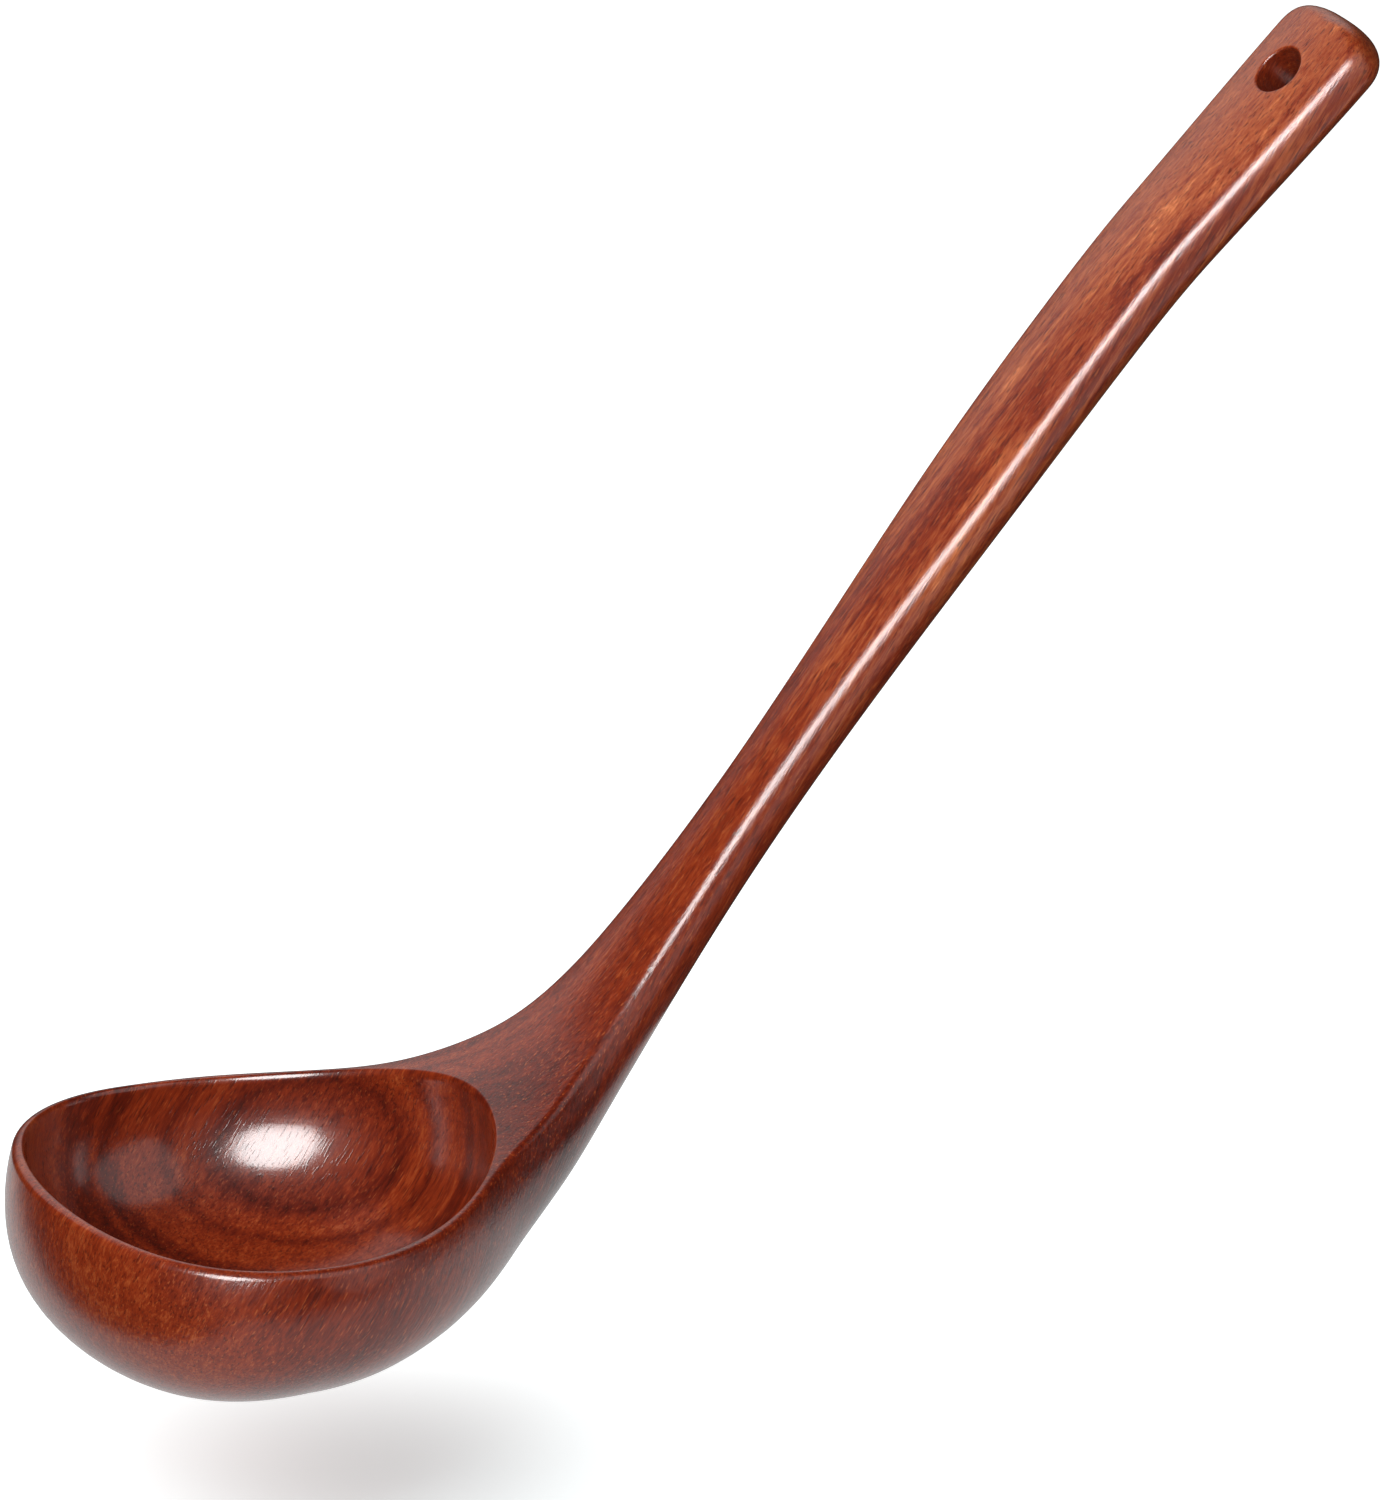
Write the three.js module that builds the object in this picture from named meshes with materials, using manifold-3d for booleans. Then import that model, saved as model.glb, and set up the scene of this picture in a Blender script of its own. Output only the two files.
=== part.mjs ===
// A carved hardwood soup ladle: a deep egg-shaped bowl, a neck that sweeps up out of its rim,
// a slim handle with a crowned upper face, and a rounded end drilled for hanging.
// The real ladle is one piece of timber. It is divided here across the grain into four plain
// solids, bowl, neck, handle and hanging_end, which meet face to face and belong together.
// Units are millimetres, +Z is up, +X runs from the bowl to the handle, and y = 0 is the plane
// of symmetry.
import * as THREE from "three";
import { mergeGeometries, mergeVertices } from "three/addons/utils/BufferGeometryUtils.js";
import Module from "manifold-3d";

// ---------------------------------------------------------------- driving dimensions
// Cross-sections along the top edge line, from the bowl's widest point (x = 0) to the straight
// end of the handle. x and z place the top edge, depth is measured down from it, and crown is
// how far the upper face rises above it at the middle. The side is widest at equator below the
// edge and tucks in again by tuck at the edge itself. power is the superellipse exponent of the
// underside, where 2 is an ellipse.
const SECTIONS = [
  { x: 0, z: 0.1, halfWidth: 42.1, depth: 33.1, crown: 0, equator: 7.0, tuck: 0.9, power: 2.35 }, // bowl
  { x: 16, z: -0.3, halfWidth: 39.5, depth: 32.0, crown: 0, equator: 6.4, tuck: 0.8, power: 2.35 },
  { x: 30, z: 0.8, halfWidth: 31.5, depth: 29.1, crown: 0.4, equator: 5.2, tuck: 0.5, power: 2.3 },
  { x: 40, z: 2.9, halfWidth: 23.7, depth: 26.0, crown: 1.0, equator: 4.2, tuck: 0.4, power: 2.2 },
  { x: 50, z: 6.0, halfWidth: 18.2, depth: 20.5, crown: 1.2, equator: 3.2, tuck: 0.2, power: 2.1 }, // throat
  { x: 59, z: 10.9, halfWidth: 13.7, depth: 15.5, crown: 1.2, equator: 3.0, tuck: 0.2, power: 2.1 },
  { x: 67, z: 17.4, halfWidth: 10.9, depth: 12.8, crown: 1.2, equator: 3.0, tuck: 0.2, power: 2.1 }, // neck
  { x: 78, z: 28.7, halfWidth: 8.9, depth: 10.7, crown: 1.2, equator: 3.0, tuck: 0.2, power: 2.1 },
  { x: 95, z: 48.4, halfWidth: 7.4, depth: 9.8, crown: 1.2, equator: 3.0, tuck: 0.2, power: 2.1 }, // waist
  { x: 121, z: 79.0, halfWidth: 8.7, depth: 10.0, crown: 1.3, equator: 3.0, tuck: 0.2, power: 2.1 },
  { x: 138, z: 98.4, halfWidth: 10.3, depth: 10.0, crown: 1.4, equator: 3.0, tuck: 0.2, power: 2.1 }, // grip
  { x: 160, z: 122.6, halfWidth: 10.9, depth: 10.1, crown: 1.6, equator: 3.3, tuck: 0.3, power: 2.1 },
  { x: 176, z: 138.6, halfWidth: 11.2, depth: 10.1, crown: 1.7, equator: 3.8, tuck: 0.5, power: 2.1 },
];
const RIM_SLOPE = -0.065; // the rim falls this much per mm from the tip towards the middle
const FRONT_REACH = 34.3; // outside of the bowl, from its widest point to the tip
const PLAN_BACK = 50.0; // length of the outer plan curve if it ran on behind the widest point
const TIP_EQUATOR = 9.0; // at the tip the bowl is widest lower down, and its rim tucks in more
const TIP_TUCK = 1.9;

const CAVITY_FRONT = 30.4; // hollow, from the widest point to the tip
const CAVITY_BACK = 46.5; // hollow, from the widest point towards the handle
const CAVITY_HALF_WIDTH = 39.4;
const CAVITY_DEPTH = 28.5;
const CAVITY_ROUNDNESS = 2.4;

const END_SLOPE = THREE.MathUtils.degToRad(41.8); // the straight end of the handle rises at this
const END_LENGTH = 45.7; // straight stretch, from the last section above to the very end
const END_ROUND = 7.5; // rounded corners of the end, measured along the handle
const END_PLAN = 2.6; // superellipse exponent of the end's outline, seen square to its face
const END_HALF_WIDTH = 12.4;
const END_DEPTH = 10.1;
const END_EQUATOR = 4.2;
const END_TUCK = 0.9;

const HOLE_RADIUS = 4.5; // hanging hole, drilled square to the upper face
const HOLE_FROM_END = 14.3;

const EDGE_CHAMFER = 0.8; // the upper edges are eased by this much, more at the end
const END_EASING = 1.8;
const STRIP_SHARE = 0.48; // middle share of the upper face that is flat across

const THROAT = 50.5; // distance along the top line where the hollow has ended
const NECK_START = 55.0; // the four solids meet at these distances along the top line
const HANDLE_START = 110.0;
const HANGING_END_LENGTH = 40.0;

// mesh fineness
const CAVITY_COLUMNS = 30;
const STEP = 7.0;
const END_COLUMNS = 8;
const SIDE_ROWS = 8;
const CAVITY_ROWS = 9;
const HOLE_SIDES = 40;
const MERGE_DISTANCE = 1e-4; // points closer than this are one point

// ---------------------------------------------------------------- smooth curves
// The cubic curve with continuous curvature through the knots, with the given end slopes.
function cubicThrough(knots, values, startSlope, endSlope) {
  const n = knots.length;
  const h = knots.slice(1).map((k, i) => k - knots[i]);
  const rise = h.map((step, i) => (values[i + 1] - values[i]) / step);
  const lower = [];
  const right = [];
  // the moments solve a three-band system, here by forward elimination and back substitution
  lower[0] = 0.5;
  right[0] = (3 * (rise[0] - startSlope)) / h[0];
  for (let i = 1; i < n - 1; i++) {
    const pivot = 2 * (h[i - 1] + h[i]) - h[i - 1] * lower[i - 1];
    lower[i] = h[i] / pivot;
    right[i] = (6 * (rise[i] - rise[i - 1]) - h[i - 1] * right[i - 1]) / pivot;
  }
  const last = h[n - 2];
  const moments = new Array(n);
  moments[n - 1] = ((6 * (endSlope - rise[n - 2])) / last - right[n - 2]) / (2 - lower[n - 2]);
  for (let i = n - 2; i >= 0; i--) {
    moments[i] = right[i] - lower[i] * moments[i + 1];
  }
  return (at) => {
    const t = THREE.MathUtils.clamp(at, knots[0], knots[n - 1]);
    let k = 0;
    while (k < n - 2 && knots[k + 1] < t) k++;
    const a = knots[k + 1] - t;
    const b = t - knots[k];
    return (
      (moments[k] * a ** 3 + moments[k + 1] * b ** 3) / (6 * h[k]) +
      (values[k] / h[k] - (moments[k] * h[k]) / 6) * a +
      (values[k + 1] / h[k] - (moments[k + 1] * h[k]) / 6) * b
    );
  };
}

const along = [0];
for (let i = 1; i < SECTIONS.length; i++) {
  const step = Math.hypot(SECTIONS[i].x - SECTIONS[i - 1].x, SECTIONS[i].z - SECTIONS[i - 1].z);
  along.push(along[i - 1] + step);
}
const STRAIGHT_START = along[along.length - 1];
const END = STRAIGHT_START + END_LENGTH;
const END_CENTRE = END - END_ROUND; // the end's rounded outline is drawn about this point
const HANGING_START = END - HANGING_END_LENGTH;

const lineX = cubicThrough(along, SECTIONS.map((s) => s.x), 1, Math.cos(END_SLOPE));
const lineZ = cubicThrough(along, SECTIONS.map((s) => s.z), RIM_SLOPE, Math.sin(END_SLOPE));
const lastSection = {
  halfWidth: END_HALF_WIDTH,
  depth: END_DEPTH,
  crown: SECTIONS[SECTIONS.length - 1].crown,
  equator: END_EQUATOR,
  tuck: END_TUCK,
  power: SECTIONS[SECTIONS.length - 1].power,
};
const sized = (key) =>
  cubicThrough([...along, END_CENTRE], [...SECTIONS, lastSection].map((s) => s[key]), 0, 0);
const halfWidth = sized("halfWidth");
const depth = sized("depth");
const equator = sized("equator");
const tuck = sized("tuck");
const power = sized("power");
const crownOfSections = cubicThrough(along, SECTIONS.map((s) => s.crown), 0, 0);
const crown = (t) => Math.max(0, crownOfSections(t));

// The top edge line in the plane of symmetry. Ahead of x = 0 it is the straight front rim.
function topLine(t) {
  const beyond = Math.max(0, t - STRAIGHT_START);
  const ahead = Math.min(0, t);
  return new THREE.Vector2(
    lineX(t) + ahead + beyond * Math.cos(END_SLOPE),
    lineZ(t) + ahead * RIM_SLOPE + beyond * Math.sin(END_SLOPE),
  );
}

// Sections stand upright at the bowl and lean until they are square to the handle.
const LEAN_OVER = 25;
function leanAt(t) {
  if (t <= 0) return 0;
  const nearby = 0.05;
  const direction = topLine(t + nearby).sub(topLine(t - nearby));
  return Math.atan2(direction.y, direction.x) * Math.min(1, t / LEAN_OVER);
}

// The point at distance t along the top line, y to the side, and down below the top edge.
function place(t, y, down) {
  const top = topLine(t);
  const lean = leanAt(t);
  return new THREE.Vector3(top.x + Math.sin(lean) * down, y, top.y - Math.cos(lean) * down);
}

// What keeps the underside level where the front rim rises, in full below the widest line.
function frontLevel(t, share) {
  return RIM_SLOPE * Math.min(0, t) * Math.min(1, share);
}

// How far the upper face lies below the top edge line (negative where it is crowned).
function upperFace(t, y) {
  const half = halfWidth(t) - tuck(t) - EDGE_CHAMFER;
  const strip = STRIP_SHARE * half;
  const out = Math.max(0, (Math.abs(y) - strip) / (half - strip));
  return -crown(t) * (1 - Math.min(1, out * out));
}

// Plan curve of the bowl: an ellipse whose front and back reach differ.
function egg(angle, front, back, half) {
  const c = Math.cos(angle);
  const x = ((front + back) / 2) * c + ((back - front) / 2) * c * c;
  return new THREE.Vector2(x, half * Math.sin(angle));
}

function alongAtX(x) {
  let low = -2 * FRONT_REACH;
  let high = END;
  for (let i = 0; i < 40; i++) {
    const middle = (low + high) / 2;
    if (topLine(middle).x < x) low = middle;
    else high = middle;
  }
  return (low + high) / 2;
}

// ---------------------------------------------------------------- columns of the surface
// A column is one run of surface from the underside's centre line up the side, over the edge
// and in across the upper face. outline is its widest point as (t, y), centre the point on the
// plane of symmetry that it closes to, and inner where its upper face ends.
function bowlColumn(angle) {
  const front = angle > Math.PI / 2;
  const inner = egg(angle, CAVITY_FRONT, CAVITY_BACK, CAVITY_HALF_WIDTH);
  const share = 1 - angle / (Math.PI / 2);
  const spread = (Math.sin((share * Math.PI) / 2) + share) / 2;
  const t = THROAT * spread;
  return {
    outline: front
      ? egg(angle, FRONT_REACH, PLAN_BACK, halfWidth(0))
      : new THREE.Vector2(t, halfWidth(t)),
    centre: new THREE.Vector2(front ? 0 : t, 0),
    inner: new THREE.Vector2(alongAtX(inner.x), inner.y),
    easing: EDGE_CHAMFER * (front ? 0.7 : 0.7 + 0.3 * share),
    hollow: true,
  };
}

function plainColumn(t) {
  const centre = new THREE.Vector2(t, 0);
  return { outline: new THREE.Vector2(t, halfWidth(t)), centre, inner: centre, easing: EDGE_CHAMFER };
}

function endColumn(angle) {
  const reach = END_ROUND * Math.cos(angle) ** (2 / END_PLAN);
  const y = END_HALF_WIDTH * Math.sin(angle) ** (2 / END_PLAN);
  const centre = new THREE.Vector2(END_CENTRE, 0);
  const easing = EDGE_CHAMFER + (END_EASING - EDGE_CHAMFER) * Math.cos(angle) ** 2;
  return { outline: new THREE.Vector2(END_CENTRE + reach, y), centre, inner: centre, easing };
}

const UPPER_SHARES = [1, 0.76, STRIP_SHARE, 0]; // steps across the upper face, edge to inner
function columnPoints({ outline, centre, inner, easing, hollow }) {
  const t = Math.max(0, centre.x);
  const bend = 2 / power(t);
  const tip = (Math.min(0, outline.x) / FRONT_REACH) ** 2;
  const widest = THREE.MathUtils.lerp(equator(t), TIP_EQUATOR, tip);
  const tuckedIn = THREE.MathUtils.lerp(tuck(t), TIP_TUCK, tip);
  const points = [];
  for (let row = 0; row <= SIDE_ROWS; row++) {
    const turn = (Math.PI / 2) * (row / SIDE_ROWS);
    const at = centre.clone().lerp(outline, Math.sin(turn) ** bend);
    const down = widest + (depth(t) - widest) * Math.cos(turn) ** bend;
    points.push(place(at.x, at.y, down + frontLevel(at.x, 1)));
  }
  const reach = outline.distanceTo(centre);
  const inwards = (amount) => outline.clone().lerp(centre, amount / reach);
  for (const share of [0.5, easing / widest]) {
    const side = inwards(tuckedIn * (1 - share) ** 2);
    points.push(place(side.x, side.y, share * widest + frontLevel(side.x, share)));
  }
  const eased = inwards(tuckedIn + easing);
  for (const share of UPPER_SHARES) {
    const at = inner.clone().lerp(eased, share);
    points.push(place(at.x, at.y, upperFace(at.x, at.y)));
  }
  if (!hollow) return points;
  const edge = points[points.length - 1];
  for (let row = 1; row <= CAVITY_ROWS; row++) {
    const turn = (Math.PI / 2) * (row / CAVITY_ROWS);
    const scale = row === CAVITY_ROWS ? 0 : Math.cos(turn) ** (2 / CAVITY_ROUNDNESS);
    const fall = Math.sin(turn) ** (2 / CAVITY_ROUNDNESS);
    const z = edge.z - (CAVITY_DEPTH + edge.z) * fall;
    points.push(new THREE.Vector3(edge.x * scale, edge.y * scale, z));
  }
  return points;
}

// ---------------------------------------------------------------- closed solids
// A triangle at y >= 0 goes in together with its mirror image. One with no area is left out.
const NO_AREA = 1e-12;
function addTriangle(list, a, b, c) {
  const normal = b.clone().sub(a).cross(c.clone().sub(a));
  if (normal.lengthSq() < NO_AREA) return;
  const mirror = (p) => new THREE.Vector3(p.x, -p.y, p.z);
  for (const p of [a, b, c, mirror(a), mirror(c), mirror(b)]) {
    list.push(p.x, p.y, p.z);
  }
}

// Skins neighbouring columns, closes the two end sections, and mirrors the half across y = 0.
function solidFrom(columns, closeStart, closeEnd) {
  const grid = columns.map(columnPoints);
  const list = [];
  for (let j = 0; j + 1 < grid.length; j++) {
    const rows = Math.min(grid[j].length, grid[j + 1].length);
    for (let i = 0; i + 1 < rows; i++) {
      addTriangle(list, grid[j][i], grid[j][i + 1], grid[j + 1][i + 1]);
      addTriangle(list, grid[j][i], grid[j + 1][i + 1], grid[j + 1][i]);
    }
  }
  const first = grid[0];
  const last = grid[grid.length - 1];
  for (let i = 1; closeStart && i + 1 < first.length; i++) {
    addTriangle(list, first[0], first[i + 1], first[i]);
  }
  for (let i = 1; closeEnd && i + 1 < last.length; i++) {
    addTriangle(list, last[0], last[i], last[i + 1]);
  }
  const geometry = new THREE.BufferGeometry();
  geometry.setAttribute("position", new THREE.Float32BufferAttribute(list, 3));
  return mergeVertices(geometry, MERGE_DISTANCE);
}

const range = (start, end, count) =>
  Array.from({ length: count + 1 }, (_, i) => start + ((end - start) * i) / count);
const stretch = (start, end) => range(start, end, Math.ceil((end - start) / STEP)).map(plainColumn);

// ---------------------------------------------------------------- the hanging hole
const wasm = await Module();
wasm.setup();

function toManifold(geometry) {
  const bare = geometry.index ? geometry.clone() : mergeGeometries([geometry]);
  bare.deleteAttribute("normal");
  bare.deleteAttribute("uv");
  const merged = mergeVertices(bare, MERGE_DISTANCE);
  const mesh = new wasm.Mesh({
    numProp: 3,
    vertProperties: new Float32Array(merged.attributes.position.array),
    triVerts: new Uint32Array(merged.index.array),
  });
  return new wasm.Manifold(mesh);
}

function fromManifold(solid) {
  const mesh = solid.getMesh();
  const geometry = new THREE.BufferGeometry();
  const positions = new THREE.Float32BufferAttribute(mesh.vertProperties, mesh.numProp);
  geometry.setAttribute("position", positions);
  geometry.setIndex(new THREE.Uint32BufferAttribute(mesh.triVerts, 1));
  return geometry;
}

function drillHole(geometry) {
  const length = 3 * END_DEPTH;
  const drill = new THREE.CylinderGeometry(HOLE_RADIUS, HOLE_RADIUS, length, HOLE_SIDES);
  drill.rotateX(Math.PI / 2);
  drill.rotateY(-leanAt(END_CENTRE));
  const middle = place(END - HOLE_FROM_END, 0, END_DEPTH / 2);
  drill.translate(middle.x, middle.y, middle.z);
  return fromManifold(toManifold(geometry).subtract(toManifold(drill)));
}

// ---------------------------------------------------------------- the four solids
function bowlGeometry() {
  const hollow = range(Math.PI, 0, CAVITY_COLUMNS).map(bowlColumn);
  const throat = range(THROAT, NECK_START, 2).slice(1).map(plainColumn);
  return solidFrom([...hollow, ...throat], false, true);
}

const neckGeometry = () => solidFrom(stretch(NECK_START, HANDLE_START), true, true);

const handleGeometry = () => solidFrom(stretch(HANDLE_START, HANGING_START), true, true);

function hangingEndGeometry() {
  const roundedEnd = range(Math.PI / 2, 0, END_COLUMNS).slice(1).map(endColumn);
  const straightEnd = stretch(HANGING_START, END_CENTRE);
  return drillHole(solidFrom([...straightEnd, ...roundedEnd], true, false));
}

function woodenMesh(name, geometry, color, roughness) {
  geometry.computeVertexNormals();
  const look = { color, roughness, metalness: 0, flatShading: true };
  const material = new THREE.MeshStandardMaterial(look);
  const mesh = new THREE.Mesh(geometry, material);
  mesh.name = name;
  return mesh;
}

const ladle = new THREE.Group();
ladle.add(
  woodenMesh("bowl", bowlGeometry(), 0x7c2f17, 0.28),
  woodenMesh("neck", neckGeometry(), 0x7f3820, 0.32),
  woodenMesh("handle", handleGeometry(), 0x8a4326, 0.34),
  woodenMesh("hanging_end", hangingEndGeometry(), 0x9a4d2c, 0.36),
);

// The origin is the middle of the footprint, level with the underside of the bowl.
const box = new THREE.Box3().setFromObject(ladle);
const centre = box.getCenter(new THREE.Vector3());
ladle.position.set(-centre.x, -centre.y, -box.min.z);

const group = new THREE.Group();
group.add(ladle);

export default group;
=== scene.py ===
"""A one-piece carved hardwood soup ladle under soft studio light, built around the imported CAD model.

Shapes are worked out in millimetres about the middle of the bowl's rim: x runs from the bowl to
the handle, y across, z up. to_frame() moves them into the row frame, in metres.
"""
import math

import bmesh
import bpy
import numpy as np
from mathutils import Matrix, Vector


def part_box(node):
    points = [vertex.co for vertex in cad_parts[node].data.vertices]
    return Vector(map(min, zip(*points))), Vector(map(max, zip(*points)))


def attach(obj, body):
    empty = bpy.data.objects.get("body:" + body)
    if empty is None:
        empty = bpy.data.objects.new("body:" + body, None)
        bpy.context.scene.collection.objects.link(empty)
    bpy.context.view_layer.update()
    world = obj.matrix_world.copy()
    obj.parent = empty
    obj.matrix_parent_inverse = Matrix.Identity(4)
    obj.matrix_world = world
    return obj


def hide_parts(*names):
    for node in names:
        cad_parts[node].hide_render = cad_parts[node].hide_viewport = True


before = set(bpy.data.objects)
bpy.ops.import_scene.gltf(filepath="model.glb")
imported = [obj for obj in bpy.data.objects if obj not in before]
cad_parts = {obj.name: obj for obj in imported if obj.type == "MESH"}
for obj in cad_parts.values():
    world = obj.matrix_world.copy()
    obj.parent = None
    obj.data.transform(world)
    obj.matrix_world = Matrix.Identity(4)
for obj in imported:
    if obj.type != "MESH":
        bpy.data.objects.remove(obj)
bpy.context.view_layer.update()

MM = 0.001

# ------------------------------------------------------------------ driving dimensions
# Sections along the top edge line: x and z of the edge, half width at the widest line of the
# side, depth below the edge, rise of the crown above it, how far down the side is widest, how
# much it tucks in again at the edge, and the superellipse exponent of the underside.
SECTIONS = np.array([
    (0, 0.1, 42.1, 33.1, 0.0, 7.0, 0.9, 2.35),  # bowl
    (16, -0.3, 39.5, 32.0, 0.0, 6.4, 0.8, 2.35),
    (30, 0.8, 31.5, 29.1, 0.4, 5.2, 0.5, 2.3),
    (40, 2.9, 23.7, 26.0, 1.0, 4.2, 0.4, 2.2),
    (50, 6.0, 18.2, 20.5, 1.2, 3.2, 0.2, 2.1),  # throat
    (59, 10.9, 13.7, 15.5, 1.2, 3.0, 0.2, 2.1),
    (67, 17.4, 10.9, 12.8, 1.2, 3.0, 0.2, 2.1),  # neck
    (78, 28.7, 8.9, 10.7, 1.2, 3.0, 0.2, 2.1),
    (95, 48.4, 7.4, 9.8, 1.2, 3.0, 0.2, 2.1),  # waist
    (121, 79.0, 8.7, 10.0, 1.3, 3.0, 0.2, 2.1),
    (138, 98.4, 10.3, 10.0, 1.4, 3.0, 0.2, 2.1),  # grip
    (160, 122.6, 10.9, 10.1, 1.6, 3.3, 0.3, 2.1),
    (176, 138.6, 11.2, 10.1, 1.7, 3.8, 0.5, 2.1),
])
END_SECTION = (12.4, 10.1, 1.7, 4.2, 0.9, 2.1)  # the same from half width on, at the rounded end
RIM_SLOPE = -0.065
FRONT_REACH, PLAN_BACK = 34.3, 50.0  # outer plan of the bowl, ahead of and behind x = 0
TIP_EQUATOR, TIP_TUCK = 9.0, 1.9  # the widest line lies lower at the tip, and the rim tucks in more
CAVITY_FRONT, CAVITY_BACK, CAVITY_HALF_WIDTH = 30.4, 46.5, 39.4
CAVITY_DEPTH, CAVITY_POWER = 28.5, 2.4
CAVITY_CROWDING = 0.175  # draws the rows of the hollow together towards the rim and the floor
END_SLOPE = math.radians(41.8)
END_LENGTH, END_ROUND, END_PLAN = 45.7, 7.5, 2.6
HOLE_RADIUS, HOLE_FROM_END, HOLE_EASING = 4.45, 14.3, 0.45
THROAT = 50.5
LEAN_OVER = 25.0  # sections stand upright at x = 0 and are square to the handle from here on

# rounding of the edges
RIM_OUTER, RIM_INNER = 1.15, 0.6
NECK_EDGE, HANDLE_EDGE, GRIP_EDGE, END_EDGE = 1.3, 2.4, 2.0, 2.3
BROADEST_EDGE_AT = 120.0  # distance along the top line where HANDLE_EDGE is reached

# mesh fineness
FRONT_COLUMNS, BACK_COLUMNS, END_COLUMNS = 64, 76, 34
COLUMN_STEP = 0.85
UNDER_ROWS, SIDE_ROWS, EDGE_ROWS, TOP_ROWS, CAVITY_ROWS = 26, 4, 8, 12, 40


# ------------------------------------------------------------------ smooth curves
def cubic_through(knots, values, start_slope, end_slope):
    """The cubic curve with continuous curvature through the knots, with given end slopes."""
    n = len(knots)
    h, rise = np.diff(knots), np.diff(values) / np.diff(knots)
    system, right = np.zeros((n, n)), np.zeros(n)
    system[0, :2] = 2 * h[0], h[0]
    system[-1, -2:] = h[-1], 2 * h[-1]
    right[0], right[-1] = 6 * (rise[0] - start_slope), 6 * (end_slope - rise[-1])
    for i in range(1, n - 1):
        system[i, i - 1:i + 2] = h[i - 1], 2 * (h[i - 1] + h[i]), h[i]
        right[i] = 6 * (rise[i] - rise[i - 1])
    bend = np.linalg.solve(system, right)

    def curve(at):
        t = np.clip(at, knots[0], knots[-1])
        k = np.clip(np.searchsorted(knots, t) - 1, 0, n - 2)
        a, b = knots[k + 1] - t, t - knots[k]
        return ((bend[k] * a**3 + bend[k + 1] * b**3) / (6 * h[k])
                + (values[k] / h[k] - bend[k] * h[k] / 6) * a
                + (values[k + 1] / h[k] - bend[k + 1] * h[k] / 6) * b)

    return curve


steps = np.hypot(np.diff(SECTIONS[:, 0]), np.diff(SECTIONS[:, 1]))
along = np.concatenate([[0], np.cumsum(steps)])
STRAIGHT_START = along[-1]
END = STRAIGHT_START + END_LENGTH
END_CENTRE = END - END_ROUND
HOLE_AT = END - HOLE_FROM_END
EDGE_KNOTS = THROAT, BROADEST_EDGE_AT, END_CENTRE
line_x = cubic_through(along, SECTIONS[:, 0], 1.0, math.cos(END_SLOPE))
line_z = cubic_through(along, SECTIONS[:, 1], RIM_SLOPE, math.sin(END_SLOPE))
half_width, depth, crown, equator, tuck, power = (
    cubic_through(np.append(along, END_CENTRE), np.append(SECTIONS[:, 2 + k], last), 0, 0)
    for k, last in enumerate(END_SECTION)
)


def top_line(t):
    """The top edge line in the plane of symmetry, as x and z."""
    ahead, beyond = np.minimum(t, 0), np.maximum(t - STRAIGHT_START, 0)
    x = line_x(t) + ahead + beyond * math.cos(END_SLOPE)
    z = line_z(t) + ahead * RIM_SLOPE + beyond * math.sin(END_SLOPE)
    return x, z


def lean(t):
    """How far a section tips over from upright."""
    before, after = top_line(t - 0.05), top_line(t + 0.05)
    slope = np.arctan2(after[1] - before[1], after[0] - before[0])
    return slope * np.clip(t / LEAN_OVER, 0, 1)


def place(t, y, down):
    """Points at t along the top line, y to the side, and down below the edge."""
    t, y, down = np.broadcast_arrays(t, y, down)
    x, z = top_line(t)
    tip = lean(t)
    return np.stack([x + np.sin(tip) * down, y, z - np.cos(tip) * down], -1)


def front_level(t, share):
    """What keeps the underside level where the front rim rises, in full below the widest line."""
    return RIM_SLOPE * np.minimum(t, 0) * np.clip(share, 0, 1)


def upper_face(t, y):
    """Depth of the upper face below the edge line, negative where it is crowned."""
    half = half_width(t) - tuck(t)
    rise = np.maximum(crown(t), 0)
    return -rise * (1 - np.minimum((y / half) ** 2, 1.0))


def underside(t, y):
    """Depth of the underside below the edge line."""
    share = np.clip(1 - (np.abs(y) / half_width(t)) ** power(t), 0, 1)
    return equator(t) + (depth(t) - equator(t)) * share ** (1 / power(t))


def egg(angle, front, back, half):
    """Plan curve of the bowl: an ellipse whose front and back reach differ."""
    c = np.cos(angle)
    return (front + back) / 2 * c + (back - front) / 2 * c * c, half * np.sin(angle)


def along_at_x(x):
    """The distance along the top line where it passes x."""
    low, high = np.full_like(x, -2 * FRONT_REACH), np.full_like(x, END)
    for _ in range(40):
        middle = (low + high) / 2
        short = top_line(middle)[0] < x
        low, high = np.where(short, middle, low), np.where(short, high, middle)
    return (low + high) / 2


def arc(start, corner, end, shares):
    """A circular-looking blend from start to end that would meet sharply at corner."""
    s = shares[:, None]
    a, b, c = (1 - s) ** 2, math.sqrt(2) * s * (1 - s), s * s
    return (a * start + b * corner + c * end) / (a + b + c)


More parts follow.
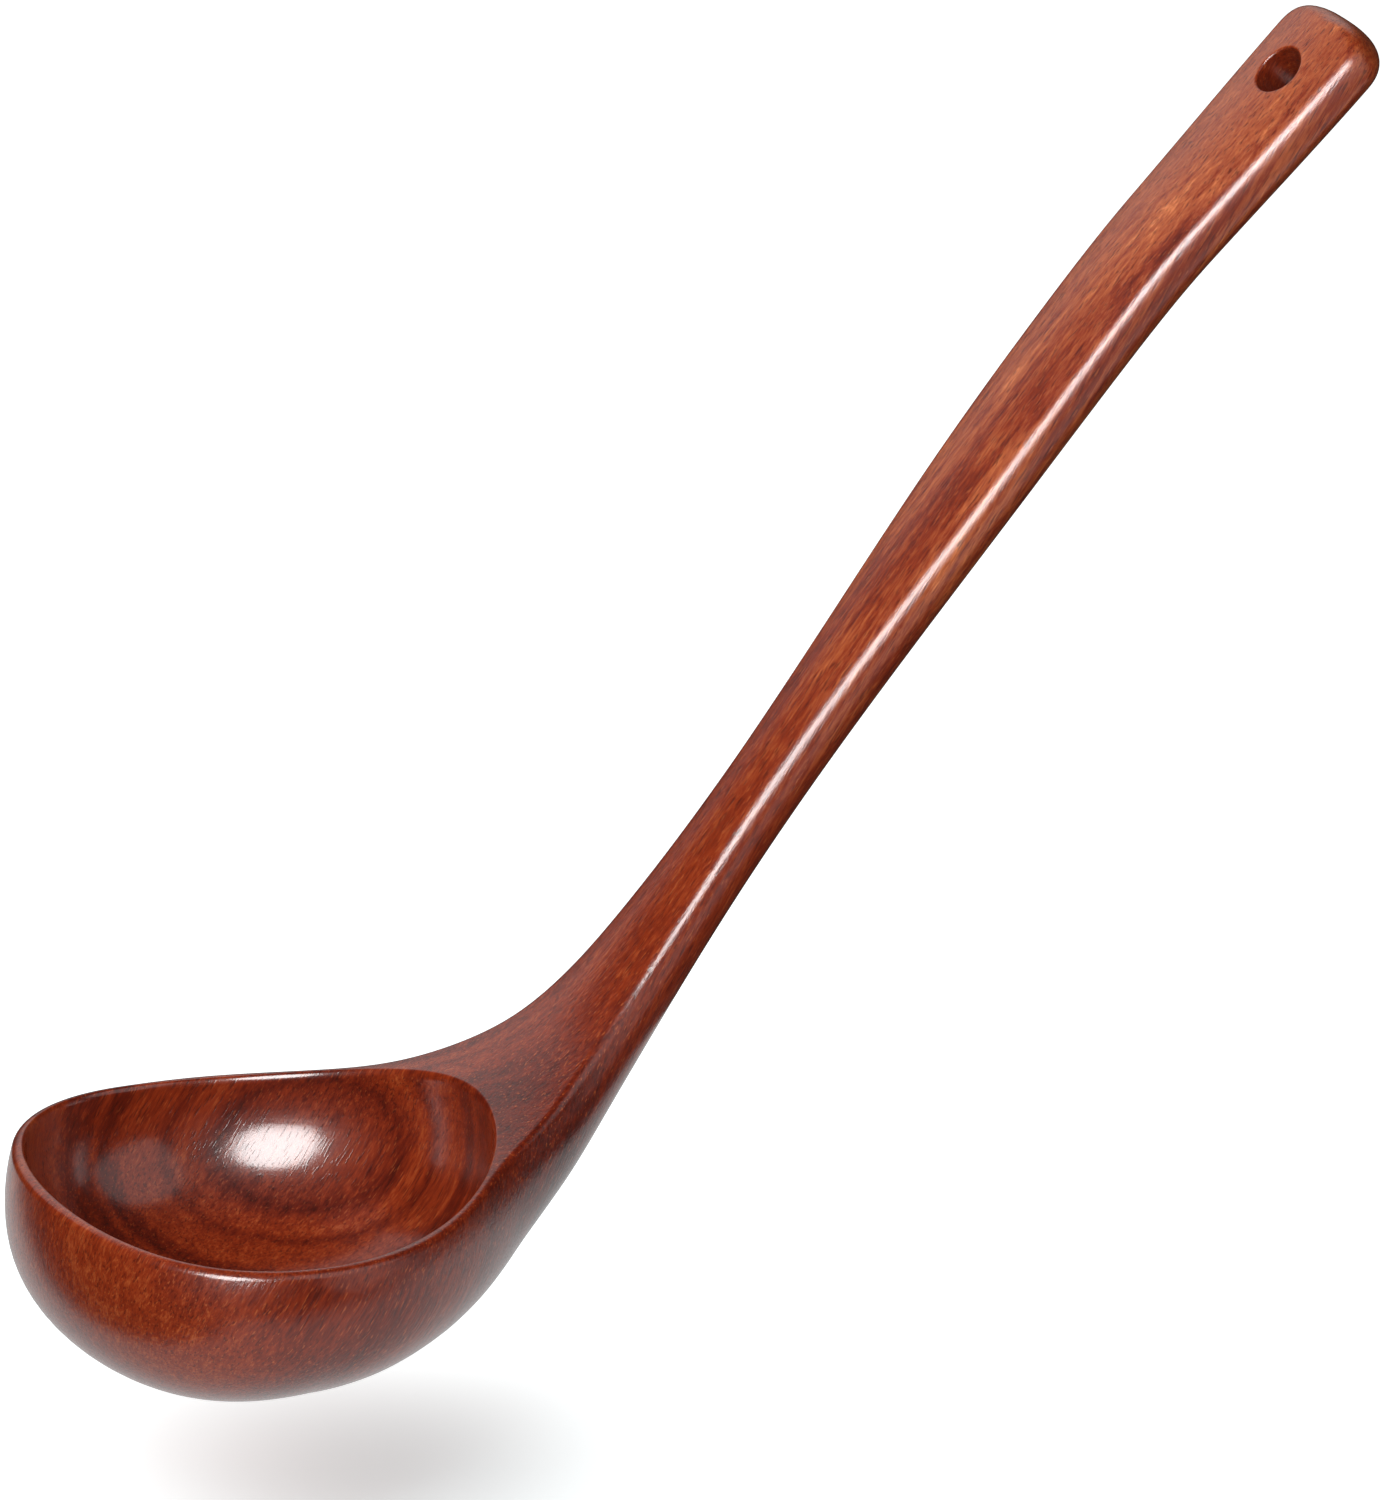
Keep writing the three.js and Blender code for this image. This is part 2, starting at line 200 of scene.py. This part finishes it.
# ------------------------------------------------------------------ the skin, one half
def columns():
    """Every column's outline, rim inner edge and hollow edge as (t, y), centre t and edge size."""
    front = np.linspace(math.pi, math.pi / 2, FRONT_COLUMNS, endpoint=False)
    back = np.linspace(math.pi / 2, 0, BACK_COLUMNS)
    angles = np.concatenate([front, back])
    reaches = np.array([CAVITY_FRONT, CAVITY_BACK, CAVITY_HALF_WIDTH])
    inner_x, inner_y = egg(angles, *reaches)
    land_x, land_y = egg(angles, *(reaches + RIM_INNER))
    land_y[-1] = inner_y[-1] = 0.0
    inner_t, land_t = along_at_x(inner_x), along_at_x(land_x)
    made = []
    for k, angle in enumerate(angles):
        share = 1 - angle / (math.pi / 2)
        if share < 0:
            x, y = egg(angle, FRONT_REACH, PLAN_BACK, half_width(0.0))
            outline, centre = (x, y), 0.0
        else:
            centre = THROAT * (math.sin(share * math.pi / 2) + share) / 2
            outline = (centre, half_width(centre))
        edge = RIM_OUTER + (NECK_EDGE - RIM_OUTER) * max(0.0, share) ** 3
        ends = (inner_t[k], inner_y[k]), (land_t[k], land_y[k])
        made.append((outline, ends, centre, edge, True))
    count = math.ceil((END_CENTRE - THROAT) / COLUMN_STEP)
    for t in np.linspace(THROAT, END_CENTRE, count + 1)[1:]:
        edge = np.interp(t, EDGE_KNOTS, (NECK_EDGE, HANDLE_EDGE, GRIP_EDGE))
        made.append(((t, half_width(t)), (None, (t, 0.0)), t, edge, False))
    for angle in np.linspace(math.pi / 2, 0, END_COLUMNS + 1)[1:]:
        reach = END_ROUND * max(0.0, math.cos(angle)) ** (2 / END_PLAN)
        side = END_SECTION[0] * max(0.0, math.sin(angle)) ** (2 / END_PLAN)
        edge = GRIP_EDGE + (END_EDGE - GRIP_EDGE) * math.cos(angle) ** 2
        outline = (END_CENTRE + reach, side)
        made.append((outline, (None, (END_CENTRE, 0.0)), END_CENTRE, edge, False))
    return made


def column_points(outline, ends, centre, edge, hollow):
    """One column: up the underside and the side, over the edge, across the top, into the bowl."""
    outline, (inner, land_end) = np.array(outline), ends
    middle = np.array([centre, 0.0])
    reach = np.linalg.norm(outline - middle)
    tip = (min(outline[0], 0.0) / FRONT_REACH) ** 2
    d, n = depth(centre), power(centre)
    q = equator(centre) + (TIP_EQUATOR - equator(centre)) * tip
    k = tuck(centre) + (TIP_TUCK - tuck(centre)) * tip

    def inwards(amount):
        return outline + (middle - outline) * (np.asarray(amount) / reach)[..., None]

    turn = np.linspace(0, math.pi / 2, UNDER_ROWS + 1)
    at = middle + (outline - middle) * (np.sin(turn) ** (2 / n))[:, None]
    down = q + (d - q) * np.cos(turn) ** (2 / n)
    rows = [place(at[:, 0], at[:, 1], down + front_level(at[:, 0], 1))]

    down = np.linspace(q, edge, SIDE_ROWS + 1)[1:]
    at = inwards(k * (1 - down / q) ** 2)
    rows.append(place(at[:, 0], at[:, 1], down + front_level(at[:, 0], down / q)))

    corner = inwards(k * (1 - 0.25 * edge / q) ** 2)
    eased = inwards(k + edge)
    top_end = place(eased[0], eased[1], upper_face(eased[0], eased[1]))
    top_corner = place(corner[0], corner[1], upper_face(eased[0], eased[1]) * 0.6)
    rows.append(arc(rows[-1][-1], top_corner, top_end, np.linspace(0, 1, EDGE_ROWS + 1)[1:]))

    shares = np.linspace(0, 1, TOP_ROWS + 1)[1:]
    at = eased + (np.array(land_end) - eased) * shares[:, None]
    rows.append(place(at[:, 0], at[:, 1], upper_face(at[:, 0], at[:, 1])))
    if not hollow:
        return np.concatenate(rows)

    lip = place(inner[0], inner[1], upper_face(inner[0], inner[1]))
    turn = np.linspace(0, math.pi / 2, CAVITY_ROWS + 1)[1:]
    turn = turn - CAVITY_CROWDING * np.sin(2 * turn)
    scale, fall = np.abs(np.cos(turn)) ** (2 / CAVITY_POWER), np.sin(turn) ** (2 / CAVITY_POWER)
    scale[-1] = 0.0
    wall = np.stack([lip[0] * scale, lip[1] * scale, lip[2] - (CAVITY_DEPTH + lip[2]) * fall], -1)
    below = wall[wall[:, 2] < lip[2] - RIM_INNER * 1.2]
    easing = arc(rows[-1][-1], lip, below[0], np.linspace(0, 1, EDGE_ROWS + 1)[1:])
    padding = np.repeat(below[:1], len(wall) - len(below), axis=0)
    rows += [easing, padding, below[1:]]
    return np.concatenate(rows)


# ------------------------------------------------------------------ mesh building
class Skin:
    """Collects the half at y >= 0 as grids of points, then mirrors and welds it."""

    def __init__(self):
        self.points = []
        self.faces = []

    def add(self, grid):
        """Adds a grid of points and returns the grid of their numbers."""
        grid = np.asarray(grid)
        start = len(self.points)
        self.points.extend(grid.reshape(-1, 3))
        return start + np.arange(grid.shape[0] * grid.shape[1]).reshape(grid.shape[:2])

    def quads(self, ids, keep=lambda j, i: True):
        for j in range(ids.shape[0] - 1):
            for i in range(ids.shape[1] - 1):
                if keep(j, i):
                    self.faces.append((ids[j, i], ids[j, i + 1], ids[j + 1, i + 1], ids[j + 1, i]))

    def where(self, ids):
        return np.array([self.points[i] for i in ids])

    def weld(self, name, origin, hollow_ids):
        """The whole skin as one mesh in the row frame, with hollow = 1 inside the bowl."""
        half = np.array(self.points)
        full = np.concatenate([half, half * (1, -1, 1)])
        mirrored = [tuple(i + len(half) for i in reversed(face)) for face in self.faces]
        mesh = bpy.data.meshes.new(name)
        mesh.from_pydata(((full - origin) * MM).tolist(), [], self.faces + mirrored)
        inside = np.zeros(len(full))
        inside[hollow_ids] = inside[hollow_ids + len(half)] = 1.0
        mesh.attributes.new("hollow", "FLOAT", "POINT").data.foreach_set("value", inside)
        welded = bmesh.new()
        welded.from_mesh(mesh)
        bmesh.ops.remove_doubles(welded, verts=welded.verts, dist=2e-6)
        bmesh.ops.dissolve_degenerate(welded, edges=welded.edges, dist=1e-6)
        unused = [point for point in welded.verts if not point.link_faces]  # under the hole's patch
        bmesh.ops.delete(welded, geom=unused, context="VERTS")
        welded.to_mesh(mesh)
        welded.free()
        mesh.shade_smooth()
        return mesh


PATCH_ROWS = 9  # rows of the upper face and of the underside that give way to the hole's patch
PATCH_REACH = 2.1 * HOLE_RADIUS
PATCH_RINGS, LIP_RINGS, WALL_RINGS = 8, 5, 9


def ladle_skin():
    """The half skin: the bowl's grid, the handle's grid, and a patch of rings round the hole."""
    skin = Skin()
    shapes = columns()
    bowl_ids = skin.add([column_points(*s) for s in shapes if s[4]])
    handle_ids = skin.add([column_points(*s) for s in shapes if not s[4]])
    rows = handle_ids.shape[1]
    skin.quads(bowl_ids)
    skin.quads(np.stack([bowl_ids[-1][:rows], handle_ids[0]]))

    centres = np.array([s[2] for s in shapes if not s[4]])
    straight = np.array([s[0][0] <= END_CENTRE for s in shapes if not s[4]])
    near = np.where((np.abs(centres - HOLE_AT) < PATCH_REACH) & straight)[0]
    first, last, middle = near[0], near[-1], rows - 1

    def outside_patch(j, i):
        return not (first <= j < last and (i >= middle - PATCH_ROWS or i < PATCH_ROWS))

    skin.quads(handle_ids, outside_patch)

    along_handle = np.array([math.cos(END_SLOPE), 0, math.sin(END_SLOPE)])

    def ring_patch(centre_row, outer_row, surface, inwards):
        """Rings from the patch's square border to the hole, then over its eased edge."""
        step = 1 if outer_row > centre_row else -1
        across = list(range(centre_row, outer_row + step, step))
        border = [handle_ids[first, i] for i in across]
        border += [handle_ids[j, outer_row] for j in range(first + 1, last)]
        border += [handle_ids[last, i] for i in reversed(across)]
        offsets = skin.where(border) - place(HOLE_AT, 0.0, 0.0)
        outer = np.stack([offsets @ along_handle, offsets[:, 1]], -1)
        angle = np.linspace(math.pi, 0, len(border))
        wall = HOLE_RADIUS * np.stack([np.cos(angle), np.sin(angle)], -1)
        eased = wall * (1 + HOLE_EASING / HOLE_RADIUS)

        def on_surface(at, down=0.0):
            return place(HOLE_AT + at[:, 0], at[:, 1], surface(HOLE_AT + at[:, 0], at[:, 1]) + down)

        shares = np.linspace(0, 1, PATCH_RINGS + 1)[1:]
        rings = [on_surface(outer + (eased - outer) * share) for share in shares]
        edge = rings[-1], on_surface(wall), on_surface(wall, inwards * HOLE_EASING)
        lips = [arc(a, b, c, np.linspace(0, 1, LIP_RINGS + 1)[1:]) for a, b, c in zip(*edge)]
        rings.extend(np.swapaxes(lips, 0, 1))
        grid = np.concatenate([[border], skin.add(rings)])
        skin.quads(grid if inwards < 0 else grid[:, ::-1])
        return grid[-1]

    top_ring = ring_patch(middle, middle - PATCH_ROWS, upper_face, 1)
    under_ring = ring_patch(0, PATCH_ROWS, underside, -1)
    above, below = skin.where(top_ring), skin.where(under_ring)
    levels = [above + (below - above) * s for s in np.linspace(0, 1, WALL_RINGS)[1:-1]]
    wall_ids = np.concatenate([[top_ring], skin.add(levels), [under_ring]])
    skin.quads(wall_ids[:, ::-1])
    hollow_ids = bowl_ids[:, rows:].ravel()
    return skin, hollow_ids


skin, hollow_ids = ladle_skin()
ORIGIN = np.array([
    -FRONT_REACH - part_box("bowl")[0][0] / MM,
    0.0,
    min(point[2] for point in skin.points),
])
ladle = bpy.data.objects.new("ladle", skin.weld("ladle", ORIGIN, hollow_ids))
bpy.context.scene.collection.objects.link(ladle)


def to_frame(point):
    """A point of the shape, in millimetres, as a place in the row frame, in metres."""
    return Vector((np.array(point) - ORIGIN) * MM)


# ------------------------------------------------------------------ the wood
# The growth layers are nearly flat: LAYERS is the direction across them and FIBRES the
# direction of the fibres in them, as the rings show where the bowl cuts through.
LAYERS = Vector((0.59, 0.693, -0.413)).normalized()
FIBRES = Vector((0.574, 0.0, 0.819)).normalized()
ACROSS = LAYERS.cross(FIBRES)

DARK = (0.045, 0.0045, 0.0018)
DEEP_RED = (0.130, 0.0110, 0.0027)
ORANGE = (0.265, 0.0300, 0.0058)
LIGHT = (0.480, 0.1050, 0.0280)
PALE = (0.780, 0.2300, 0.0700)


class Nodes:
    """Shorthand for building a material's node tree."""

    def __init__(self, material):
        material.use_nodes = True
        self.tree = material.node_tree
        self.shader = self.tree.nodes["Principled BSDF"]

    def add(self, kind, inputs=(), output=0, **settings):
        """Adds a node, sets or links its inputs by name or number, and returns one output."""
        made = self.tree.nodes.new(kind)
        for name, value in settings.items():
            setattr(made, name, value)
        for name, value in dict(inputs).items():
            if isinstance(value, bpy.types.NodeSocket):
                self.tree.links.new(value, made.inputs[name])
            else:
                made.inputs[name].default_value = value
        return made.outputs[output]

    def math(self, operation, *values):
        return self.add("ShaderNodeMath", dict(enumerate(values)), operation=operation)

    def vector_math(self, operation, *values, output="Vector"):
        inputs = dict(enumerate(values))
        return self.add("ShaderNodeVectorMath", inputs, output, operation=operation)

    def along(self, position, direction):
        return self.vector_math("DOT_PRODUCT", position, direction, output="Value")

    def vector(self, x, y, z):
        return self.add("ShaderNodeCombineXYZ", {0: x, 1: y, 2: z})

    def noise(self, vector, scale=1.0, detail=2.0, roughness=0.5):
        inputs = {"Vector": vector, "Scale": scale, "Detail": detail, "Roughness": roughness}
        return self.add("ShaderNodeTexNoise", inputs)

    def remap(self, value, low, high, new_low=0.0, new_high=1.0):
        inputs = {0: value, 1: low, 2: high, 3: new_low, 4: new_high}
        return self.add("ShaderNodeMapRange", inputs, interpolation_type="SMOOTHSTEP")

    def ramp(self, value, stops):
        colours = self.add("ShaderNodeValToRGB", {0: value})
        made = colours.node.color_ramp
        while len(made.elements) < len(stops):
            made.elements.new(1.0)
        for element, (position, colour) in zip(made.elements, stops):
            element.position = position
            element.color = (*colour, 1) if isinstance(colour, tuple) else (colour,) * 3 + (1,)
        return colours

    def mix(self, share, first, second):
        made = self.tree.nodes.new("ShaderNodeMix")
        made.data_type = "RGBA"
        sockets = made.inputs[0], made.inputs[6], made.inputs[7]
        for socket, value in zip(sockets, (share, first, second)):
            if isinstance(value, bpy.types.NodeSocket):
                self.tree.links.new(value, socket)
            else:
                socket.default_value = (*value, 1) if isinstance(value, tuple) else value
        return made.outputs[2]


def grain_space(nodes):
    """Position in millimetres along the fibres, across them within a layer, and across layers."""
    place_of = nodes.add("ShaderNodeTexCoord", output="Object")
    position = nodes.vector_math("MULTIPLY_ADD", place_of, (1 / MM,) * 3, tuple(ORIGIN))
    fibre, across, layer = (nodes.along(position, d) for d in (FIBRES, ACROSS, LAYERS))
    return position, fibre, across, layer


# Layers that stand out where the bowl cuts them: (position across the layers, darkness).
MARK_START, MARK_SPAN = 18.0, 28.0
MARKED_LAYERS = (
    (18.0, 0.85), (22.0, 0.88), (25.2, 0.78), (26.2, 0.34), (26.8, 0.62),
    (27.4, 0.95), (28.6, 0.90), (29.8, 0.45), (31.8, 0.40), (33.2, 0.48), (34.0, 0.86),
    (35.0, 0.46), (36.4, 0.42), (37.0, 0.60), (37.6, 0.90), (38.6, 0.56), (40.0, 0.42),
    (43.0, 0.36), (46.0, 0.45),
)


def wood_material():
    """Lacquered red-brown hardwood: growth layers, streaks along the fibres and open pores."""
    material = bpy.data.materials.new("lacquered_hardwood")
    nodes = Nodes(material)
    position, fibre, across, layer = grain_space(nodes)

    def stretched(along, sideways, through):
        return nodes.vector(
            nodes.math("MULTIPLY", fibre, along),
            nodes.math("MULTIPLY", across, sideways),
            nodes.math("MULTIPLY", layer, through),
        )

    def shifted(tone, noise, amount):
        """Adds a noise to a tone, as amount either side of its middle."""
        return nodes.math("MULTIPLY_ADD", nodes.math("SUBTRACT", noise, 0.5), amount, tone)

    sway = nodes.noise(stretched(0.010, 0.025, 0.02), 1.0, 1.0)
    waver = nodes.noise(stretched(0.06, 0.22, 0.22), 1.0, 2.0)
    bent = shifted(shifted(layer, sway, 1.6), waver, 0.9)

    # growth layers: broad bands, finer rings, and the few that stand out in the bowl
    band = nodes.noise(nodes.vector(0.0, 3.7, nodes.math("MULTIPLY", bent, 0.13)), 1.0, 1.0)
    ring = nodes.noise(nodes.vector(5.1, 0.0, nodes.math("MULTIPLY", bent, 0.62)), 1.0, 2.0)
    marked = nodes.ramp(
        nodes.add("ShaderNodeMapRange", {0: bent, 1: MARK_START, 2: MARK_START + MARK_SPAN}),
        [((at - MARK_START) / MARK_SPAN, dark) for at, dark in MARKED_LAYERS],
    )
    in_span = nodes.math("ABSOLUTE", nodes.math("SUBTRACT", bent, MARK_START + MARK_SPAN / 2))
    in_bowl = nodes.remap(in_span, 11.0, 14.0, 1.0, 0.0)
    near_bowl = nodes.remap(fibre, 20.0, 60.0, 1.0, 0.0)
    marks_share = nodes.math("MULTIPLY", in_bowl, near_bowl)
    marks = nodes.math("MULTIPLY", nodes.math("SUBTRACT", 0.45, marked), marks_share)

    tone = nodes.remap(fibre, 30.0, 270.0, 0.58, 0.80)
    tone = shifted(shifted(tone, band, 0.45), ring, 0.22)
    tone = nodes.math("MULTIPLY_ADD", marks, 0.62, tone)
    inside = nodes.add("ShaderNodeAttribute", output="Fac", attribute_name="hollow")

    # the outside of the bowl is darker in its middle layers, and along its flank it carries painted
    # shade
    outside = nodes.math("MULTIPLY", nodes.math("SUBTRACT", 1.0, inside), near_bowl)
    from_heart = nodes.math("ABSOLUTE", nodes.math("SUBTRACT", layer, 13.0))
    heart = nodes.math("MULTIPLY", nodes.remap(from_heart, 3.0, 13.0, 1.0, 0.0), outside)
    # painted shade: the flank of the bowl's outside is darkened
    flank_painted_shade = nodes.math("MULTIPLY", nodes.remap(across, 18.0, 32.0), outside)
    tone = nodes.math("MULTIPLY_ADD", heart, -0.15, tone)
    tone = nodes.math("MULTIPLY_ADD", flank_painted_shade, -0.20, tone)

    # streaks along the fibres, strongest in the layers that run out along the handle's near edge
    streak = nodes.noise(stretched(0.030, 0.55, 0.75), 1.0, 4.0, 0.6)
    thread = nodes.noise(stretched(0.26, 1.9, 1.9), 1.0, 4.0, 0.68)
    from_edge = nodes.math("ABSOLUTE", nodes.math("SUBTRACT", layer, 38.0))
    at_edge = nodes.remap(from_edge, 4.0, 11.0, 1.0, 0.0)
    on_handle = nodes.remap(fibre, 90.0, 130.0)
    streaky = nodes.math("MULTIPLY", at_edge, on_handle)
    # painted light on the handle's near side face: painted lighter along the middle of the handle, a
    # painted sheen, and painted darker towards the end, painted shade
    near_side_painted_light = nodes.remap(nodes.along(position, (0, 1, 0)), -10.0, -5.5, 1.0, 0.0)
    near_side_painted_light = nodes.math("MULTIPLY", near_side_painted_light, nodes.remap(fibre, 150.0, 215.0, 1.0, -0.9))
    tone = nodes.math("MULTIPLY_ADD", nodes.math("MULTIPLY", near_side_painted_light, on_handle), 0.13, tone)
    tone = shifted(tone, streak, nodes.math("MULTIPLY_ADD", streaky, 0.8, 0.65))
    tone = shifted(tone, thread, 1.05)

    # the wall of the hole is darker than the face around it
    bore_axis = (-math.sin(END_SLOPE), 0.0, math.cos(END_SLOPE))
    from_bore = nodes.vector_math("SUBTRACT", position, tuple(place(HOLE_AT, 0.0, 0.0)))
    sideways = nodes.vector_math("CROSS_PRODUCT", from_bore, bore_axis)
    off_axis = nodes.vector_math("LENGTH", sideways, output="Value")
    in_bore = nodes.remap(off_axis, HOLE_RADIUS, HOLE_RADIUS + HOLE_EASING, 1.0, 0.0)
    tone = nodes.math("MULTIPLY_ADD", in_bore, -0.30, tone)

    colour = nodes.ramp(
        nodes.math("MULTIPLY", tone, 0.8),
        [(0.0, DARK), (0.24, DEEP_RED), (0.50, ORANGE), (0.80, LIGHT), (1.0, PALE)],
    )

    # short dashes along the fibres: open pores, dark, and light flecks painted into the colour as
    # glints, a painted highlight
    pore = nodes.noise(stretched(0.28, 3.2, 3.2), 1.0, 1.0, 0.4)
    pores = nodes.remap(pore, 0.58, 0.70)
    fleck = nodes.noise(stretched(0.36, 2.3, 2.3), 1.3, 1.0, 0.4)
    painted_glints = nodes.remap(fleck, 0.62, 0.74)
    # painted highlight: the glint flecks are weaker inside the hollow
    glint_strength = nodes.math("MULTIPLY_ADD", inside, -0.25, 0.60)
    colour = nodes.mix(nodes.math("MULTIPLY", painted_glints, glint_strength), colour, LIGHT)
    colour = nodes.mix(nodes.math("MULTIPLY", pores, 0.60), colour, DARK)

    # the surface: fibres telegraph through the lacquer, pores stay open, and the hollow keeps
    # the faint ripples of the gouge
    upward = nodes.along(position, (0, 0, 1))
    ripple = nodes.noise(nodes.vector(0.0, 0.0, nodes.math("MULTIPLY", upward, 1.1)), 1.0, 2.0)
    peel = nodes.noise(position, 2.5, 2.0)
    fibrous = nodes.math("MULTIPLY_ADD", inside, -1.6, 1.9)
    height = nodes.math("MULTIPLY_ADD", pores, -0.25, nodes.math("MULTIPLY", thread, fibrous))
    height = nodes.math("MULTIPLY_ADD", peel, 0.15, height)
    height = nodes.math("MULTIPLY_ADD", nodes.math("MULTIPLY", inside, ripple), 0.3, height)
    normal = nodes.add("ShaderNodeBump", {"Strength": 1.0, "Distance": 0.00005, "Height": height})
    glaze = nodes.add("ShaderNodeBump", {"Strength": 1.0, "Distance": 0.00003, "Height": height})

    links, shader = nodes.tree.links, nodes.shader
    links.new(colour, shader.inputs["Base Color"])
    links.new(normal, shader.inputs["Normal"])
    links.new(glaze, shader.inputs["Coat Normal"])
    satin = nodes.remap(fibre, 70.0, 120.0, 0.15, 0.27)  # the handle is duller than the bowl
    links.new(satin, shader.inputs["Coat Roughness"])
    shader.inputs["Roughness"].default_value = 0.33
    shader.inputs["Specular IOR Level"].default_value = 0.15
    shader.inputs["Coat Weight"].default_value = 1.0
    shader.inputs["Coat IOR"].default_value = 1.6
    return material


ladle.data.materials.append(wood_material())
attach(ladle, "root")
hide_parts("bowl", "neck", "handle", "hanging_end")


# ------------------------------------------------------------------ floor, light and camera
FLOOR_GAP = 14.0  # the ladle hovers this far above the floor
FLOOR_SIZE = 12.0
SHADOW_MIDDLE = (16, -23, 0)
VIEW_CENTRE = (87.5, 0, 59.3)
CAMERA_AZIMUTH, CAMERA_ELEVATION, CAMERA_DISTANCE, CAMERA_LENS = -28.0, 23.5, 3.0, 432.0


def floor():
    """A light table: white all over, but its glow is painted dimmer under the bowl, a painted shadow,
    where a soft shadow shows.
    """
    middle = to_frame(SHADOW_MIDDLE)
    place_at = (middle.x, middle.y, -FLOOR_GAP * MM)
    bpy.ops.mesh.primitive_plane_add(size=FLOOR_SIZE, location=place_at)
    plane = bpy.context.object
    plane.name = "floor"
    material = bpy.data.materials.new("floor_white")
    nodes = Nodes(material)
    place_of = nodes.add("ShaderNodeTexCoord", output="Object")
    distance = nodes.vector_math("LENGTH", place_of, output="Value")
    # painted shadow: the glow is dimmer in a round patch about SHADOW_MIDDLE, and the floor's real
    # shadow shows only within it
    glow_with_painted_shadow = nodes.remap(distance, 0.0, 0.066, 0.60, 1.0)
    nodes.tree.links.new(glow_with_painted_shadow, nodes.shader.inputs["Emission Strength"])
    nodes.shader.inputs["Emission Color"].default_value = (1, 1, 1, 1)
    nodes.shader.inputs["Base Color"].default_value = (0.76, 0.93, 0.95, 1)
    nodes.shader.inputs["Roughness"].default_value = 0.9
    nodes.shader.inputs["Specular IOR Level"].default_value = 0.0
    plane.data.materials.append(material)
    plane.visible_glossy = plane.visible_diffuse = False  # the table sheets stand in for it
    return plane


LIT = to_frame((60, 0, 30))


def direction(azimuth, elevation):
    a, e = math.radians(azimuth), math.radians(elevation)
    return Vector((math.cos(a) * math.cos(e), math.sin(a) * math.cos(e), math.sin(e)))


def only(thing):
    """A collection that keeps a light to one thing."""
    group = bpy.data.collections.new(thing.name + "_only")
    group.objects.link(thing)
    return group


LADLE_ONLY = only(ladle)


def softbox(name, azimuth, elevation, distance, width, height, radiance, aim=LIT):
    """A flat light that faces aim and lights the ladle. radiance is what its reflection shows."""
    light = bpy.data.lights.new(name, "AREA")
    light.shape = "RECTANGLE"
    light.size, light.size_y = width, height
    light.energy = radiance * math.pi * width * height
    holder = bpy.data.objects.new(name, light)
    towards = direction(azimuth, elevation)
    holder.location = aim + towards * distance
    holder.rotation_mode = "QUATERNION"
    holder.rotation_quaternion = towards.to_track_quat("Z", "Y")
    holder.visible_camera = False
    holder.light_linking.receiver_collection = LADLE_ONLY
    bpy.context.scene.collection.objects.link(holder)
    return holder


def room():
    """White where the camera looks past the floor, and dim in what the ladle reflects."""
    world = bpy.data.worlds.new("studio")
    world.use_nodes = True
    tree = world.node_tree
    background = tree.nodes["Background"]
    background.inputs["Color"].default_value = (1, 1, 1, 1)
    path = tree.nodes.new("ShaderNodeLightPath")
    strength = tree.nodes.new("ShaderNodeMapRange")
    strength.inputs["To Min"].default_value = 0.02
    strength.inputs["To Max"].default_value = 1.0
    tree.links.new(path.outputs["Is Camera Ray"], strength.inputs["Value"])
    tree.links.new(strength.outputs["Result"], background.inputs["Strength"])
    bpy.context.scene.world = world


def table_sheet(name, width, length, across, away, radiance):
    """What a white sheet on the table gives back, laid out edge to edge as the camera sees it."""
    right, ahead = direction(CAMERA_AZIMUTH, 0), direction(CAMERA_AZIMUTH + 90, 0)
    holder = softbox(name, CAMERA_AZIMUTH, -90, 0.1, width, length, radiance)
    middle = to_frame((0, 0, 0)) + right * across + ahead * away
    holder.location = (middle.x, middle.y, (1 - FLOOR_GAP) * MM)


def edge_light():
    """A strip with a grid over the handle's near edge, which keeps its light off the bowl."""
    strip = softbox("edge_light", -127, 38, 0.36, 0.20, 0.12, 1.0, aim=to_frame((195, 0, 155)))
    strip.data.spread = math.radians(36)
    strip.visible_diffuse = False


def lighting(plane):
    """The softboxes that show as reflections, those that only light the wood, and the floor's."""
    key = softbox("key_softbox", -131, 23, 1.8, 1.00, 1.28, 12.0)
    key.data.shape = "ELLIPSE"
    key.visible_diffuse = False
    fill = softbox("fill_card", -64, 27, 0.9, 0.80, 1.10, 0.6)
    fill.data.shape = "ELLIPSE"
    softbox("back_screen", 78, 32, 1.2, 1.5, 0.87, 0.60)
    softbox("front_light", -130, 42, 0.9, 1.2, 1.2, 1.75).visible_glossy = False
    softbox("side_light", -136, 4, 0.9, 0.7, 0.5, 2.3).visible_glossy = False
    softbox("top_light", 142, 52, 0.9, 0.32, 0.32, 11.0).visible_glossy = False
    over_floor = softbox("over_floor", 107, 63, 0.5, 0.9, 0.9, 0.90, aim=to_frame((0, 0, -40)))
    over_floor.light_linking.receiver_collection = only(plane)
    table_sheet("sheet_below", 0.215, 0.31, 0.0225, 0.048, 0.60)
    table_sheet("sheet_beside", 0.42, 0.20, 0.40, -0.12, 0.9)
    edge_light()
    room()


def camera():
    """Looks at the ladle from the side and a little from above."""
    lens = bpy.data.cameras.new("camera")
    lens.lens = CAMERA_LENS
    holder = bpy.data.objects.new("camera", lens)
    back = direction(CAMERA_AZIMUTH - 90, CAMERA_ELEVATION)
    holder.location = to_frame(VIEW_CENTRE) + back * CAMERA_DISTANCE
    holder.rotation_mode = "QUATERNION"
    holder.rotation_quaternion = back.to_track_quat("Z", "Y")
    bpy.context.scene.collection.objects.link(holder)
    bpy.context.scene.camera = holder


lighting(floor())
camera()
bpy.context.scene.view_settings.view_transform = "Standard"
